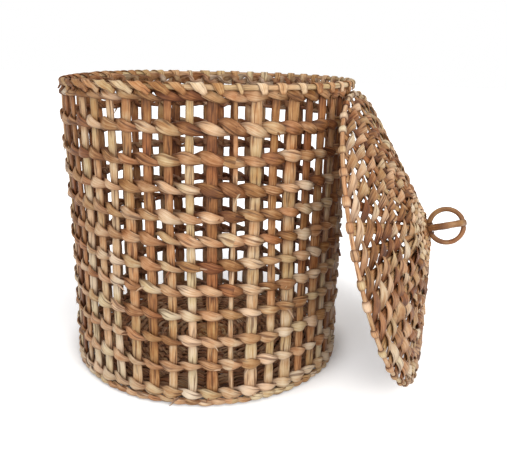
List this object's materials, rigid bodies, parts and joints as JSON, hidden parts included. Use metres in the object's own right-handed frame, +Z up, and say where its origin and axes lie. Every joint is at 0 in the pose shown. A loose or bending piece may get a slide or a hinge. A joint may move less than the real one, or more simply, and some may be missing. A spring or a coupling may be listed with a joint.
{
  "type": "woven basket with lid",
  "caption": "Round open-twined storage basket of dried water hyacinth, with a shallow cone lid, its globe handle, leaning on the wall",
  "frame": {"origin": "middle of the basket's underside, on the floor", "axes": "+Z up, along the basket's axis; +X the way the outer face of the leaning lid points"},
  "size_m": [0.5576, 0.4225, 0.398],
  "materials": {
    "stalk": "flattened dried water hyacinth stalk, satin, ochre to brown",
    "strand": "twined split stalk, satin, pale straw to tan",
    "rod": "round rod of the rim, foot and lid edge, satin, warm brown",
    "cane": "smooth bent rattan cane and its lashings, light sheen, brown"
  },
  "bodies": {
    "basket": {"base_hub": "stalk", "base_row_1": "strand", "base_row_2": "strand", "base_row_3": "strand", "foot_ring": "rod", "frame_post_right": "strand", "frame_post_back": "strand", "frame_post_left": "strand", "frame_post_front": "strand", "stakes_right": "stalk", "stakes_back": "stalk", "stakes_left": "stalk", "stakes_front": "stalk", "wall_row_01": "strand", "wall_row_02": "strand", "wall_row_03": "strand", "wall_row_04": "strand", "wall_row_05": "strand", "wall_row_06": "strand", "wall_row_07": "strand", "wall_row_08": "strand", "wall_row_09": "strand", "wall_row_10": "strand", "wall_row_11": "strand", "wall_row_12": "strand", "rim_ring": "rod"},
    "lid": {"lid_edge_ring": "rod", "lid_spokes_1": "stalk", "lid_spokes_2": "stalk", "lid_spokes_3": "stalk", "lid_spokes_4": "stalk", "lid_row_1": "strand", "lid_row_2": "strand", "lid_row_3": "strand", "lid_row_4": "strand", "lid_row_5": "strand", "lid_row_6": "strand", "lid_row_7": "strand", "lid_crown": "stalk", "handle_ring_lower": "cane", "handle_ring_upper": "cane", "handle_lashing_near": "cane", "handle_lashing_far": "cane"}
  },
  "joints": [
    {"name": "lid_lift_away", "type": "slide", "parent": "basket", "child": "lid", "axis": [0.9563, 0, 0.2924], "range_m": [0, 0.25]}
  ]
}
